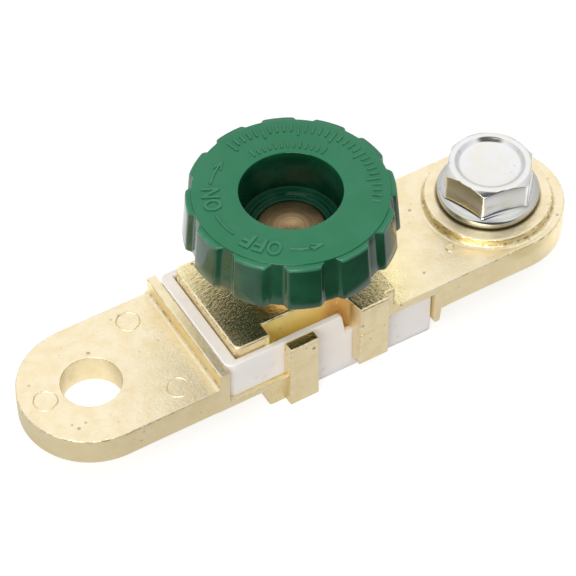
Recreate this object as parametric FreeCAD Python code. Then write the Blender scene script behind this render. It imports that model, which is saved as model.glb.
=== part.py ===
"""Battery cut-off switch: two cast plates, the insulator between them, and a knob screw.

Lengths are in millimetres and angles in degrees. +Z is up, +X runs along the switch from the
link lug to the terminal lug, and Y is across it. The origin is on the axis of the link hole,
in the plane of the link lug's underside.

The lower plate carries the link lug and a tapped block. The upper plate carries the terminal
lug and the contact block. The insulator keeps them apart, and the ears of one plate and the
hooks of the other grip it from outside. The contact screw passes through the upper block into
the lower one: its shoulder joins the two when the knob is screwed down.
"""

import math
import os

import FreeCAD
import Part

# Plates: the width and the rounded lug end are shared by both castings.
plate_width = 24.4
lug_end_radius = plate_width / 2.0
cast_edge_bevel = 0.2

# Link lug, at the left end.
link_hole_radius = 5.0
link_lug_thickness = 5.5
hole_to_screw = 37.25

# Terminal lug, at the right end.
screw_to_terminal = 38.55
terminal_overhang = 1.1
terminal_lug_underside = 0.4
terminal_lug_thickness = 6.0
boss_radius = 10.9
boss_height = 1.7
boss_fillet = 0.6

# Insulator: a tray over the lower plate that turns into a skirt around the lower block.
insulator_left = 18.6
insulator_right = 20.25
insulator_half_width = 11.4
insulator_wall = 1.1
insulator_end_wall = 2.1
insulator_floor = 1.5
tray_corner_radius = 1.5
skirt_corner_radius = 0.5
tray_rim_height = 9.0
tray_rim_end = 2.7
tray_rim_draft = 0.8
tray_rim_round = 0.8
collar_wall = 1.0
collar_bore_gap = 0.35
seat_gap = 0.1

# Lower plate: the ridge that stops the tray, the thin web under it and the tapped block.
ridge_thickness = 1.7
ridge_height = 3.2
ridge_fillet = 0.7
ridge_crest_round = 0.3
web_thickness = 1.3
block_drop = 4.7
block_left = 12.6
block_left_slope = 1.5
block_side_inset = 0.4
wide_block_end = 3.5
block_key_height = 1.75
ear_left = 8.2
ear_right = 2.75
ear_outer = 13.48
ear_height = 9.0
ear_gap = 0.05
ear_edge_bevel = 0.2

# Upper plate: the contact block with its pads and hooks, the web and the rib behind it.
contact_height = 10.96
pad_left = 16.4
pad_left_end = 10.1
notch_end = 4.0
notch_flare = 1.1
pad_right_end = 12.4
notch_half_width = 7.6
left_corner_radius = 1.3
right_corner_radius = 0.4
pad_edge_bevel = 0.25
root_bevel = 0.7
web_height = 1.8
hook_right = 10.6
hook_outer = 13.45
hook_bottom = -2.7
rib_thickness = 1.4
rib_bottom = -2.4
rib_taper = 0.3

# Contact screw.
screw_thread_radius = 5.0
screw_thread_gap = 0.05
screw_end = -4.2
screw_point = 0.8
shoulder_radius = 7.3
shoulder_height = 2.5
head_radius = 5.75

# Knob.
knob_bottom = 20.9
knob_top = 29.75
lobe_count = 12
lobe_phase = 6.5
lobe_radius_bottom = 17.5
lobe_radius_top = 16.7
flute_radius_bottom = 16.6
flute_radius_top = 15.85
lobe_angle = 16.6
flute_floor_angle = 7.0
lobe_step = 0.3
lobe_bevel = 0.25
knob_edge = 0.35
recess_radius = 8.3
recess_floor = 21.9
recess_lip_radius = 7.0
recess_edge = 0.3
knob_bore_gap = 0.05
knob_wall = 2.0
knob_roof = 2.6
knob_skirt_wall = 2.6
hub_radius = 8.4
knob_rib_count = 6
knob_rib_thickness = 1.5

# Terminal bolt.
bolt_thread_radius = 4.0
bolt_thread_gap = 0.05
bolt_length = 11.0
bolt_point = 0.8
flange_radius = 8.66
flange_rim = 1.8
flange_thickness = 2.3
flange_edge = 0.35
hex_across_flats = 13.8
hex_phase = 49.5
hex_head_height = 7.6
hex_chamfer_drop = 0.75
head_rim_radius = 6.8
dish_radius = 5.85
dish_depth = 0.7

# Places worked out from the sizes above.
screw_x = hole_to_screw
terminal_x = screw_x + screw_to_terminal
terminal_top = terminal_lug_underside + terminal_lug_thickness
half_width = plate_width / 2.0
insulator_inner = insulator_half_width - insulator_wall
tray_left_x = screw_x - insulator_left
skirt_right_x = screw_x + insulator_right
floor_top = web_thickness + insulator_floor
roof_top = terminal_top - web_height
block_half_width = insulator_inner - seat_gap
key_wall_x = screw_x + pad_right_end + seat_gap
thread_radius = screw_thread_radius - screw_thread_gap
collar_inner = screw_thread_radius + collar_bore_gap
collar_outer = collar_inner + collar_wall
head_top = recess_floor - lobe_step * 2.0
head_bottom = contact_height + shoulder_height
boss_top = terminal_top + boss_height


def vec(x, y, z):
    """Return a FreeCAD vector."""
    return FreeCAD.Vector(x, y, z)


def box(x0, x1, y0, y1, z0, z1):
    """Return a box between two corners."""
    return Part.makeBox(x1 - x0, y1 - y0, z1 - z0, vec(x0, y0, z0))


def cylinder(radius, z0, z1, x=0.0, y=0.0):
    """Return an upright cylinder between two heights."""
    return Part.makeCylinder(radius, z1 - z0, vec(x, y, z0))


def revolve(points, x=0.0):
    """Return the solid turned about an upright axis from (radius, z) points."""
    corners = [vec(x + radius, 0, z) for radius, z in points]
    face = Part.Face(Part.makePolygon(corners + corners[:1]))
    return face.revolve(vec(x, 0, 0), vec(0, 0, 1), 360)


def side_profile(points, y0, y1):
    """Return the solid extruded across the switch from (x, z) points."""
    corners = [vec(x, y0, z) for x, z in points]
    face = Part.Face(Part.makePolygon(corners + corners[:1]))
    return face.extrude(vec(0, y1 - y0, 0))


def plan_prism(points, z0, z1):
    """Return the solid extruded upwards from (x, y) points."""
    corners = [vec(x, y, z0) for x, y in points]
    face = Part.Face(Part.makePolygon(corners + corners[:1]))
    return face.extrude(vec(0, 0, z1 - z0))


def edges_where(shape, test):
    """Return the edges whose bounding box passes a test."""
    return [edge for edge in shape.Edges if test(edge.BoundBox)]


def is_upright(bounds):
    """Tell whether an edge's bounds are those of an upright straight edge."""
    return bounds.XLength < 1e-6 and bounds.YLength < 1e-6 and bounds.ZLength > 1e-6


def is_level_at(bounds, z):
    """Tell whether an edge's bounds lie flat at one height."""
    return abs(bounds.ZMin - z) < 1e-6 and abs(bounds.ZMax - z) < 1e-6


def is_across_at(bounds, x, z):
    """Tell whether an edge runs across the switch at one place of its side profile."""
    return abs(bounds.Center.x - x) < 1e-4 and abs(bounds.Center.z - z) < 1e-4 and bounds.YLength > 1.0


def both_sides(solid):
    """Return a solid and its mirror image in the XZ plane."""
    return [solid, solid.mirror(vec(0, 0, 0), vec(0, 1, 0))]


def lug(centre_x, root_x, z0, thickness):
    """Return a lug with a rounded end: a disc on the lug's centre run back to its root."""
    end = cylinder(lug_end_radius, z0, z0 + thickness, centre_x)
    start = min(centre_x, root_x)
    finish = max(centre_x, root_x)
    shank = box(start, finish, -half_width, half_width, z0, z0 + thickness)
    body = end.fuse(shank).removeSplitter()

    def is_rim(bounds):
        """Tell whether an edge belongs to the free rim, not to the root."""
        level = is_level_at(bounds, z0) or is_level_at(bounds, z0 + thickness)
        return level and bounds.XLength > 1e-6

    return body.makeChamfer(cast_edge_bevel, edges_where(body, is_rim))


def lower_plate():
    """Return the casting with the link lug, the tapped block and its two ears."""
    ridge_right = tray_left_x - ear_gap
    ridge_left = ridge_right - ridge_thickness
    ridge_top = link_lug_thickness + ridge_height
    root = ridge_left - ridge_fillet

    # The side profile runs from the lug's root over the ridge and the web to the wide block.
    block_start = screw_x - block_left
    wide_end = screw_x - wide_block_end
    profile = [
        (root, 0.0),
        (root, link_lug_thickness),
        (ridge_left, link_lug_thickness),
        (ridge_left, ridge_top),
        (ridge_right, ridge_top),
        (ridge_right, web_thickness),
        (wide_end, web_thickness),
        (wide_end, -block_drop),
        (block_start + block_left_slope, -block_drop),
        (block_start, 0.0),
    ]
    body = side_profile(profile, -half_width, half_width)
    inner_corner = edges_where(body, lambda b: is_across_at(b, ridge_left, link_lug_thickness))
    body = body.makeFillet(ridge_fillet - 0.01, inner_corner)
    crest = edges_where(body, lambda b: is_across_at(b, ridge_left, ridge_top))
    crest += edges_where(body, lambda b: is_across_at(b, ridge_right, ridge_top))
    body = body.makeFillet(ridge_crest_round, crest)
    heel = edges_where(body, lambda b: is_across_at(b, block_start, 0.0))
    body = body.makeFillet(1.0, heel)
    toe = edges_where(body, lambda b: is_across_at(b, block_start + block_left_slope, -block_drop))
    body = body.makeFillet(0.8, toe)
    block_side = half_width - block_side_inset
    for side in (-1.0, 1.0):
        y0 = min(side * block_side, side * (half_width + 1.0))
        y1 = max(side * block_side, side * (half_width + 1.0))
        body = body.cut(box(block_start - 1.0, wide_end + 1.0, y0, y1, -block_drop - 1.0, 0.0))

    # The narrow block stands inside the insulator's skirt; its key stops the skirt sliding.
    skirt_inner_x = skirt_right_x - insulator_wall - seat_gap
    key_left = key_wall_x + insulator_floor + seat_gap
    narrow = box(wide_end - 1.0, skirt_inner_x, -block_half_width, block_half_width,
                 -block_drop, web_thickness)
    key = box(key_left, skirt_inner_x, -block_half_width, block_half_width,
              -block_drop, web_thickness + block_key_height)

    # Each ear stands against the tray's outer wall.
    ear = box(screw_x - ear_left, screw_x - ear_right,
              insulator_half_width + ear_gap, ear_outer, -block_drop, ear_height)
    ear_top = edges_where(ear, lambda b: is_level_at(b, ear_height))
    ear_outer_edges = edges_where(ear, lambda b: is_upright(b) and b.YMin > ear_outer - 1e-6)
    ear = ear.makeChamfer(ear_edge_bevel, ear_top + ear_outer_edges)

    body = body.fuse([lug(0.0, root, 0.0, link_lug_thickness), narrow, key] + both_sides(ear))
    body = body.removeSplitter()
    link_hole = cylinder(link_hole_radius, -1.0, link_lug_thickness + 1.0)
    tapped_hole = cylinder(screw_thread_radius, -block_drop - 1.0, web_thickness + 1.0, screw_x)
    return body.cut([link_hole, tapped_hole])


def pad_outline(x0, x1, half, left_radius=0.0, right_radius=0.0):
    """Return an upright prism for one pad of the contact block, rounded at its free end."""
    pad = box(screw_x + x0, screw_x + x1, -half, half, floor_top, contact_height)
    for x, radius in ((x0, left_radius), (x1, right_radius)):
        if radius > 0.0:
            corners = edges_where(pad, lambda b: is_upright(b) and abs(b.XMin - screw_x - x) < 1e-6)
            pad = pad.makeFillet(radius, corners)
    return pad


def notch_flare_wedge(side):
    """Return the wedge that widens the notch from its floor out to a hook's outer face."""
    reach = hook_outer - notch_half_width
    left = screw_x + notch_end
    outer = hook_outer + reach
    return plan_prism([
        (left - 1.0, side * notch_half_width),
        (left, side * notch_half_width),
        (left + notch_flare * 2.0, side * outer),
        (left - 1.0, side * outer),
    ], hook_bottom - 1.0, contact_height + 1.0)


def upper_plate():
    """Return the casting with the terminal lug, the contact block and its two hooks."""
    # The contact block narrows to a notch between its pads, where the ears come up.
    left_pad = pad_outline(-pad_left, -pad_left_end, block_half_width, left_radius=left_corner_radius)
    middle = pad_outline(-pad_left_end - 1.0, notch_end + 1.0, notch_half_width)
    right_pad = pad_outline(notch_end, pad_right_end, half_width, right_radius=right_corner_radius)
    overhang = []
    flares = []
    for side in (-1.0, 1.0):
        y0 = min(side * block_half_width, side * (half_width + 1.0))
        y1 = max(side * block_half_width, side * (half_width + 1.0))
        overhang.append(box(screw_x + notch_end - 1.0, screw_x + pad_right_end + 1.0,
                            y0, y1, floor_top - 1.0, roof_top + ear_gap))
        flares.append(notch_flare_wedge(side))
    right_pad = right_pad.cut(overhang + flares)

    # Each hook hangs from the right pad and grips the skirt from outside.
    hook = box(screw_x + notch_end, screw_x + hook_right, insulator_half_width + ear_gap, hook_outer,
               hook_bottom, contact_height)
    hook = hook.cut(notch_flare_wedge(1.0))
    hook_edges = edges_where(hook, lambda b: is_upright(b) and b.YMin > hook_outer - 1e-6)
    hook_edges += edges_where(hook, lambda b: is_level_at(b, hook_bottom) and b.YMin > hook_outer - 1e-6)
    hook = hook.makeChamfer(ear_edge_bevel, hook_edges)

    block = left_pad.fuse([middle, right_pad] + both_sides(hook)).removeSplitter()
    rim = edges_where(block, lambda b: is_level_at(b, contact_height))
    block = block.makeChamfer(pad_edge_bevel, rim)

    # The thin web and the rib behind the skirt are one side profile.
    web_left = screw_x + pad_right_end - right_corner_radius - root_bevel
    rib_left = skirt_right_x + seat_gap
    rib_right = rib_left + rib_thickness
    profile = [
        (web_left, roof_top),
        (web_left, terminal_top),
        (rib_right + 1.0, terminal_top),
        (rib_right + 1.0, terminal_lug_underside),
        (rib_right, terminal_lug_underside),
        (rib_right - rib_taper, rib_bottom),
        (rib_left, rib_bottom),
        (rib_left, roof_top),
    ]
    web = side_profile(profile, -half_width, half_width)
    tip = edges_where(web, lambda b: is_across_at(b, rib_right - rib_taper, rib_bottom))
    tip += edges_where(web, lambda b: is_across_at(b, rib_left, rib_bottom))
    web = web.makeFillet((rib_thickness - rib_taper) * 0.4, tip)

    end_centre = terminal_x + terminal_overhang
    plate = lug(end_centre, rib_right + 1.0, terminal_lug_underside, terminal_lug_thickness)
    boss = revolve([
        (0.0, terminal_top - 1.0),
        (boss_radius + boss_fillet, terminal_top - 1.0),
        (boss_radius + boss_fillet, terminal_top),
        (boss_radius + boss_fillet * 0.35, terminal_top + boss_fillet * 0.35),
        (boss_radius, terminal_top + boss_fillet),
        (boss_radius, boss_top - pad_edge_bevel),
        (boss_radius - pad_edge_bevel, boss_top),
        (0.0, boss_top),
    ], terminal_x)

    body = block.fuse([web, plate]).removeSplitter()
    root_edge = edges_where(body, lambda b: is_across_at(b, screw_x + pad_right_end, terminal_top))
    body = body.makeChamfer(root_bevel, root_edge).fuse(boss)
    clearance_hole = cylinder(collar_outer + seat_gap, floor_top - 1.0, contact_height + 1.0, screw_x)
    tapped_hole = cylinder(bolt_thread_radius + bolt_thread_gap, terminal_lug_underside - 1.0,
                           boss_top + 1.0, terminal_x)
    return body.cut([clearance_hole, tapped_hole])


def insulator():
    """Return the moulding that keeps the plates apart: tray, collar and skirt in one piece."""
    rim_x = screw_x + tray_rim_end
    skirt_left = screw_x - wide_block_end + ear_gap
    skirt_bottom = -block_drop
    wall_profile = [
        (tray_left_x, web_thickness),
        (tray_left_x, tray_rim_height),
        (rim_x, tray_rim_height),
        (rim_x + tray_rim_draft, roof_top),
        (skirt_right_x, roof_top),
        (skirt_right_x, skirt_bottom),
        (skirt_left, skirt_bottom),
        (skirt_left, web_thickness),
    ]
    wall = side_profile(wall_profile, insulator_inner, insulator_half_width)
    rim_corner = edges_where(wall, lambda b: is_across_at(b, rim_x, tray_rim_height))
    wall = wall.makeFillet(tray_rim_round, rim_corner)

    half = insulator_half_width
    left_wall = box(tray_left_x, tray_left_x + insulator_end_wall, -half, half,
                    web_thickness, tray_rim_height)
    floor = box(tray_left_x, key_wall_x + insulator_floor, -half, half, web_thickness, floor_top)
    key_wall = box(key_wall_x, key_wall_x + insulator_floor, -half, half, web_thickness, roof_top)
    roof = box(key_wall_x, skirt_right_x, -half, half, roof_top - insulator_floor, roof_top)
    end_wall = box(skirt_right_x - insulator_wall, skirt_right_x, -half, half, skirt_bottom, roof_top)
    collar = cylinder(collar_outer, web_thickness, contact_height - insulator_wall * 0.3, screw_x)

    body = both_sides(wall)[0].fuse([both_sides(wall)[1], left_wall, floor, key_wall, roof,
                                     end_wall, collar]).removeSplitter()
    envelope = box(tray_left_x, skirt_right_x, -half, half, skirt_bottom - 1.0, tray_rim_height + 9.0)
    tray_corners = edges_where(envelope, lambda b: is_upright(b) and b.XMin < tray_left_x + 1e-6)
    envelope = envelope.makeFillet(tray_corner_radius, tray_corners)
    skirt_corners = edges_where(envelope, lambda b: is_upright(b) and b.XMin > skirt_right_x - 1e-6)
    envelope = envelope.makeFillet(skirt_corner_radius, skirt_corners)
    body = body.common(envelope)
    return body.cut(cylinder(collar_inner, web_thickness - 1.0, contact_height + 1.0, screw_x))


def contact_screw():
    """Return the turned screw: head, contact shoulder and threaded shank."""
    chamfer = screw_thread_gap * 6.0
    return revolve([
        (0.0, screw_end),
        (thread_radius - screw_point, screw_end),
        (thread_radius, screw_end + screw_point),
        (thread_radius, contact_height),
        (shoulder_radius - chamfer, contact_height),
        (shoulder_radius, contact_height + chamfer),
        (shoulder_radius, head_bottom),
        (head_radius, head_bottom),
        (head_radius, head_top - chamfer),
        (head_radius - chamfer, head_top),
        (0.0, head_top),
    ], screw_x)


def fluted_wire(lobe_radius, flute_radius, z):
    """Return the knob's closed outline at one height: lobe arcs, flanks and flute floors."""
    pitch = 360.0 / lobe_count

    def at(radius, degrees):
        """Return the point of the outline at a polar place."""
        angle = math.radians(degrees)
        return vec(screw_x + radius * math.cos(angle), radius * math.sin(angle), z)

    edges = []
    for lobe in range(lobe_count):
        middle = lobe_phase + lobe * pitch
        lobe_start = middle - lobe_angle / 2.0
        lobe_finish = middle + lobe_angle / 2.0
        floor_middle = middle + pitch / 2.0
        floor_start = floor_middle - flute_floor_angle / 2.0
        floor_finish = floor_middle + flute_floor_angle / 2.0
        next_start = lobe_start + pitch
        crown = Part.Arc(at(lobe_radius, lobe_start), at(lobe_radius, middle), at(lobe_radius, lobe_finish))
        floor = Part.Arc(at(flute_radius, floor_start), at(flute_radius, floor_middle),
                         at(flute_radius, floor_finish))
        edges.append(crown.toShape())
        edges.append(Part.makeLine(at(lobe_radius, lobe_finish), at(flute_radius, floor_start)))
        edges.append(floor.toShape())
        edges.append(Part.makeLine(at(flute_radius, floor_finish), at(lobe_radius, next_start)))
    return Part.Wire(edges)


def knob():
    """Return the moulded knob: drafted lobes, a deep recess, a hub and a ribbed hollow below."""
    bottom = fluted_wire(lobe_radius_bottom, flute_radius_bottom, knob_bottom)
    top = fluted_wire(lobe_radius_top, flute_radius_top, knob_top)
    grip = Part.makeLoft([bottom, top], True, True)

    # The turned envelope steps and bevels the lobes' tops and breaks the lower edge.
    outer = lobe_radius_bottom + 1.0
    bevel_z = knob_top - lobe_step
    envelope = revolve([
        (0.0, knob_bottom),
        (lobe_radius_bottom - knob_edge, knob_bottom),
        (outer, knob_bottom + knob_edge + 1.0),
        (outer, bevel_z - lobe_bevel - 1.0),
        (lobe_radius_top + knob_edge, bevel_z - lobe_bevel - knob_edge),
        (lobe_radius_top - 0.1, bevel_z - lobe_bevel),
        (flute_radius_top + 0.02, bevel_z),
        (flute_radius_top + 0.02, knob_top - 0.1),
        (flute_radius_top - 0.1, knob_top),
        (0.0, knob_top),
    ], screw_x)
    grip = grip.common(envelope)

    # The hollow below leaves an even wall beside the recess, the roof and the lobes.
    core_radius = recess_radius + knob_wall
    hollow_radius = flute_radius_bottom - knob_skirt_wall
    hollow_top = knob_top - knob_roof
    hollow = revolve([
        (core_radius, knob_bottom - 1.0),
        (hollow_radius, knob_bottom - 1.0),
        (hollow_radius, hollow_top),
        (core_radius, hollow_top),
    ], screw_x)
    ribs = []
    for index in range(knob_rib_count):
        rib = box(0.0, lobe_radius_bottom, -knob_rib_thickness / 2.0, knob_rib_thickness / 2.0,
                  knob_bottom + 0.6, knob_top)
        rib.rotate(vec(0, 0, 0), vec(0, 0, 1), lobe_phase + index * 360.0 / knob_rib_count)
        rib.translate(vec(screw_x, 0, 0))
        ribs.append(rib)
    hollow = hollow.cut(ribs)

    hub_bottom = head_bottom + knob_bore_gap
    hub = revolve([
        (0.0, hub_bottom),
        (hub_radius - knob_edge, hub_bottom),
        (hub_radius, hub_bottom + knob_edge),
        (hub_radius, knob_bottom - knob_wall),
        (core_radius, knob_bottom),
        (core_radius, knob_bottom + 1.0),
        (0.0, knob_bottom + 1.0),
    ], screw_x)

    bore_radius = head_radius + knob_bore_gap
    recess = revolve([
        (0.0, hub_bottom - 1.0),
        (bore_radius, hub_bottom - 1.0),
        (bore_radius, head_top),
        (bore_radius + 0.6, head_top),
        (recess_lip_radius, recess_floor),
        (recess_radius - recess_edge, recess_floor),
        (recess_radius, recess_floor + recess_edge),
        (recess_radius, knob_top - recess_edge),
        (recess_radius + recess_edge * 0.3, knob_top - recess_edge * 0.3),
        (recess_radius + recess_edge, knob_top),
        (recess_radius + recess_edge, knob_top + 1.0),
        (0.0, knob_top + 1.0),
    ], screw_x)
    return grip.cut(hollow).fuse(hub).removeSplitter().cut(recess)


def terminal_bolt():
    """Return the flange bolt that clamps a cable eye on the terminal boss."""
    shank_radius = bolt_thread_radius
    shank_end = boss_top - bolt_length
    turned = revolve([
        (0.0, shank_end),
        (shank_radius - bolt_point, shank_end),
        (shank_radius, shank_end + bolt_point),
        (shank_radius, boss_top),
        (flange_radius - flange_edge, boss_top),
        (flange_radius, boss_top + flange_edge),
        (flange_radius, boss_top + flange_rim - flange_edge),
        (flange_radius - flange_edge, boss_top + flange_rim),
        (hex_across_flats / 2.0, boss_top + flange_thickness),
        (0.0, boss_top + flange_thickness),
    ], terminal_x)

    corner_radius = hex_across_flats / 2.0 / math.cos(math.radians(30.0))
    corners = []
    for index in range(6):
        angle = math.radians(hex_phase + index * 60.0)
        corners.append(vec(terminal_x + corner_radius * math.cos(angle),
                           corner_radius * math.sin(angle), boss_top + flange_rim))
    hexagon = Part.Face(Part.makePolygon(corners + corners[:1]))
    head_top_z = boss_top + hex_head_height
    head = hexagon.extrude(vec(0, 0, hex_head_height - flange_rim))

    # The turned envelope chamfers the six corners and sinks the dish in the top.
    envelope = revolve([
        (0.0, boss_top),
        (corner_radius + 1.0, boss_top),
        (corner_radius + 1.0, head_top_z - hex_chamfer_drop * 1.6),
        (corner_radius, head_top_z - hex_chamfer_drop),
        (head_rim_radius, head_top_z),
        (dish_radius, head_top_z),
        (dish_radius - dish_depth, head_top_z - dish_depth),
        (0.0, head_top_z - dish_depth),
    ], terminal_x)
    return turned.fuse(head.common(envelope)).removeSplitter()


os.makedirs("parts", exist_ok=True)
pieces = {
    "lower_plate": lower_plate,
    "upper_plate": upper_plate,
    "insulator": insulator,
    "contact_screw": contact_screw,
    "knob": knob,
    "terminal_bolt": terminal_bolt,
}
for node, build in pieces.items():
    shape = build()
    shape.exportStep("parts/" + node + ".step")
    print(node, shape.isValid(), len(shape.Solids), round(shape.Volume, 1))
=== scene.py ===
"""The looks of a battery cut-off switch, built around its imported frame.

Two plated castings are held apart by a white moulding and joined by a green fluted knob on a
brass screw. A bright flange bolt closes the terminal. Lengths in the classes are in
millimetres, in the frame's own axes: +X runs to the terminal and +Z is up.
"""

import logging
import math
from collections.abc import Callable, Iterable, Sequence
from dataclasses import dataclass, field
from enum import Enum
from functools import cached_property

import bmesh
import bpy
from mathutils import Matrix, Vector


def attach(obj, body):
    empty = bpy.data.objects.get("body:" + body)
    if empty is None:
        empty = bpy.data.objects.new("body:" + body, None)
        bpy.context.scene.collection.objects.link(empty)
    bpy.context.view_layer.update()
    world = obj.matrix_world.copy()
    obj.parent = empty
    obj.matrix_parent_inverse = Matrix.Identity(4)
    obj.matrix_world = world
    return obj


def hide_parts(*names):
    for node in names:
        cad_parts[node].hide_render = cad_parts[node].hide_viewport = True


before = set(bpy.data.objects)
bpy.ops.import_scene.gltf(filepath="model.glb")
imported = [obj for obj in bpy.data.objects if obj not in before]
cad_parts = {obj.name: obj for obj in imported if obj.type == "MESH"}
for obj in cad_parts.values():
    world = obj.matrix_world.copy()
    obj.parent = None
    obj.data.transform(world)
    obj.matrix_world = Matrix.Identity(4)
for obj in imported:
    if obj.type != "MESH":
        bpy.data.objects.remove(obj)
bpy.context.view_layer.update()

LOG = logging.getLogger("cutoff_switch")

Colour = tuple[float, float, float]
Point = tuple[float, float, float]
Span = tuple[float, float]
Polar = tuple[float, float]
Profile = tuple[Polar, ...]
Shape = float | Callable[[float], float]
Ring = tuple[Shape, Shape]
Mesh = bmesh.types.BMesh
Object = bpy.types.Object
Material = bpy.types.Material
Node = bpy.types.Node
Socket = bpy.types.NodeSocket
Tree = bpy.types.NodeTree

MILLIMETRE = 0.001
SCREW_X = 37.25
TERMINAL_X = 75.8
ORIGIN: Point = (0.0, 0.0, 0.0)
WHITE = (1.0, 1.0, 1.0, 1.0)
CLOUDS: Span = (0.35, 0.70)
WIDE_CLOUDS: Span = (0.3, 0.75)
MERGE_DISTANCE = 0.0005
FLAT_ANGLE = 0.4
SHARP_ANGLE = 28.0
NARROW_FACE = 0.1
CHAMFER_WIDTH = 0.36
CHAMFER_SLOPE: Span = (0.2, 0.95)
STROKE_TAPER = 0.62
STROKE_STEP = 2.0
STROKE_ARC = 8.0
LETTER_WEIGHT = 0.022
SUNK = 0.05


class Body(str, Enum):
    """The bodies that a piece can ride on."""

    PLATES = "plates"
    SCREW = "screw"
    GRIP = "grip"


class Slot(str, Enum):
    """The record's material slots."""

    CASTING = "plated_casting"
    NYLON = "nylon"
    BRASS = "turned_brass"
    PLASTIC = "green_plastic"
    ZINC = "bright_zinc"


class Turn(Enum):
    """Which way an arrow on the knob points, seen from above."""

    CLOCKWISE = -1.0
    COUNTER_CLOCKWISE = 1.0


# Node wiring


class Graph:
    """Wires the nodes of one material, world or shared group."""

    def __init__(self, tree: Tree) -> None:
        """Take over a node tree and clear it."""
        self.tree = tree
        tree.nodes.clear()

    def add(self, kind: str, inputs: dict | None = None, **settings: object) -> Node:
        """Add a node.

        Args:
            kind: The node's type name.
            inputs: Values or sockets for the node's inputs, by name or number.
            **settings: Properties of the node itself.

        Returns:
            The new node.
        """
        node = self.tree.nodes.new(kind)
        for key, value in settings.items():
            setattr(node, key, value)
        for key, value in (inputs or {}).items():
            if isinstance(value, Socket):
                self.link(value, node.inputs[key])
            else:
                node.inputs[key].default_value = value
        return node

    def link(self, source: Socket, target: Socket) -> None:
        """Join two sockets."""
        self.tree.links.new(source, target)

    def calc(self, operation: str, first: object, second: object = 0.0) -> Socket:
        """Return the result of a Math node."""
        return self.add("ShaderNodeMath", {0: first, 1: second}, operation=operation).outputs[0]

    def plus(self, first: object, second: object) -> Socket:
        """Return a sum."""
        return self.calc("ADD", first, second)

    def times(self, first: object, second: object) -> Socket:
        """Return a product."""
        return self.calc("MULTIPLY", first, second)

    def most(self, first: object, second: object) -> Socket:
        """Return the larger of two values."""
        return self.calc("MAXIMUM", first, second)

    def offset(self, value: object, middle: float) -> Socket:
        """Return how far a value lies from a middle."""
        return self.calc("ABSOLUTE", self.calc("SUBTRACT", value, middle))

    def remap(self, value: object, span: Span, to: Span = (0.0, 1.0)) -> Socket:
        """Return a value moved from one range to another, smoothly and within its ends.

        Args:
            value: The value.
            span: The range that it comes from.
            to: The range that it goes to.

        Returns:
            The new value.
        """
        names = ("Value", "From Min", "From Max", "To Min", "To Max")
        inputs = dict(zip(names, (value, *span, *to)))
        node = self.add("ShaderNodeMapRange", inputs, interpolation_type="SMOOTHSTEP")
        return node.outputs["Result"]

    def fade(self, value: object, span: Span, most: float = 1.0) -> Socket:
        """Return a share that falls to nothing across a range."""
        return self.remap(value, span, (most, 0.0))

    def blend(self, share: object, first: object, second: object) -> Socket:
        """Return two colours mixed by a share.

        Args:
            share: The second colour's share.
            first: The first colour.
            second: The second colour.

        Returns:
            The mixed colour.
        """
        pair = [(*value, 1.0) if isinstance(value, tuple) else value for value in (first, second)]
        inputs = {0: share, 6: pair[0], 7: pair[1]}
        return self.add("ShaderNodeMix", inputs, data_type="RGBA").outputs[2]

    def noise(self, vector: Socket, scale: Socket, detail: float, roughness: float = 0.5) -> Socket:
        """Return the value of a noise texture."""
        inputs = {"Vector": vector, "Scale": scale, "Detail": detail, "Roughness": roughness}
        return self.add("ShaderNodeTexNoise", inputs).outputs["Fac"]

    def mapped(self, vector: Socket, **changes: Point) -> Socket:
        """Return a vector that is moved, turned or scaled."""
        return self.add("ShaderNodeMapping", {"Vector": vector, **changes}).outputs[0]

    def split(self, vector: Socket) -> list[Socket]:
        """Return a vector's three parts."""
        return list(self.add("ShaderNodeSeparateXYZ", {0: vector}).outputs)

    def join(self, x: Socket, y: object = 0.0, z: object = 0.0) -> Socket:
        """Return three parts as a vector."""
        return self.add("ShaderNodeCombineXYZ", {0: x, 1: y, 2: z}).outputs[0]

    def gap(self, vector: Socket, point: Point) -> Socket:
        """Return a vector's distance from a point."""
        return self.vector_value("DISTANCE", vector, point)

    def vector_value(self, operation: str, first: Socket, second: object) -> Socket:
        """Return the single value of a Vector Math node."""
        inputs = {0: first, 1: second}
        return self.add("ShaderNodeVectorMath", inputs, operation=operation).outputs["Value"]

    def millimetres(self, place: Socket) -> Socket:
        """Return a place in millimetres."""
        inputs = {0: place, "Scale": 1.0 / MILLIMETRE}
        return self.add("ShaderNodeVectorMath", inputs, operation="SCALE").outputs[0]

    def seen(self, rays: Node) -> Socket:
        """Return 1 for the rays that the camera sees by, also through a clear piece."""
        return self.most(rays.outputs["Is Camera Ray"], rays.outputs["Is Transmission Ray"])


def new_group(name: str, inputs: Sequence[str], outputs: Sequence[str]) -> tuple[Graph, dict, Node]:
    """Start a shared node group with a vector input.

    Args:
        name: The group's name.
        inputs: Names of the other inputs, which are numbers.
        outputs: Names of the outputs, which are numbers.

    Returns:
        The graph, the group's inputs by name and its output node.
    """
    tree = bpy.data.node_groups.new(name, "ShaderNodeTree")
    tree.interface.new_socket("Vector", in_out="INPUT", socket_type="NodeSocketVector")
    for way, sockets in (("INPUT", inputs), ("OUTPUT", outputs)):
        for socket in sockets:
            tree.interface.new_socket(socket, in_out=way, socket_type="NodeSocketFloat")
    graph = Graph(tree)
    source = graph.add("NodeGroupInput").outputs
    return graph, {key: source[key] for key in ("Vector", *inputs)}, graph.add("NodeGroupOutput")


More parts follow.
